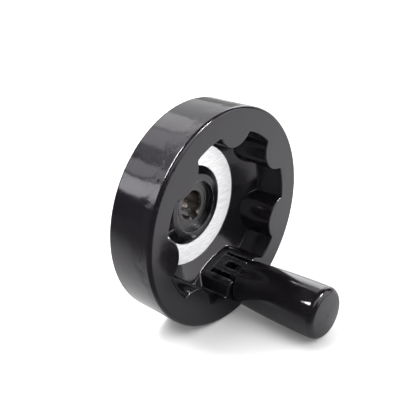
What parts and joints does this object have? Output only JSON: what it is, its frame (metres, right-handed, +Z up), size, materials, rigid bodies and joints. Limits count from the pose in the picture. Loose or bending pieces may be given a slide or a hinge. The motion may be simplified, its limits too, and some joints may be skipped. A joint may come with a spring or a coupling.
{
  "type": "machine handwheel with folding handle",
  "caption": "Machine handwheel with lobed finger recesses, keyed steel bush and a revolving grip that folds into the bowl.",
  "frame": {"origin": "on the shaft axis at the hub's rear face", "axes": "+Y runs along the shaft axis out of the back of the hub, the bowl and the handle face -Y, +Z is up"},
  "size_m": [0.0998, 0.0796, 0.0998],
  "materials": {
    "moulding": "gloss black phenolic moulding",
    "disc": "finely turned, bright",
    "bush_steel": "turned, blackened",
    "bracket_steel": "satin black",
    "pin_steel": "ground",
    "zinc_steel": "zinc plated"
  },
  "bodies": {
    "wheel": {"wheel_body": "moulding", "trim_disc": "disc", "hub_bush": "bush_steel", "hinge_bracket": "bracket_steel", "hinge_pin": "pin_steel", "stud_washer": "zinc_steel", "stud_nut": "zinc_steel"},
    "handle_arm": {"handle_spindle": "pin_steel", "spring_washer": "pin_steel", "retaining_ring": "pin_steel"},
    "grip": {"grip": "moulding"}
  },
  "joints": [
    {"name": "handle_fold", "type": "hinge", "parent": "wheel", "child": "handle_arm", "pos_m": [0.01087, -0.0318, -0.03158], "axis": [-0.9455, 0, -0.3256], "range_deg": [0, 90]},
    {"name": "grip_spin", "type": "hinge", "parent": "handle_arm", "child": "grip", "pos_m": [0.01266, -0.0318, -0.03678], "axis": [0, 1, 0], "continuous": true}
  ]
}
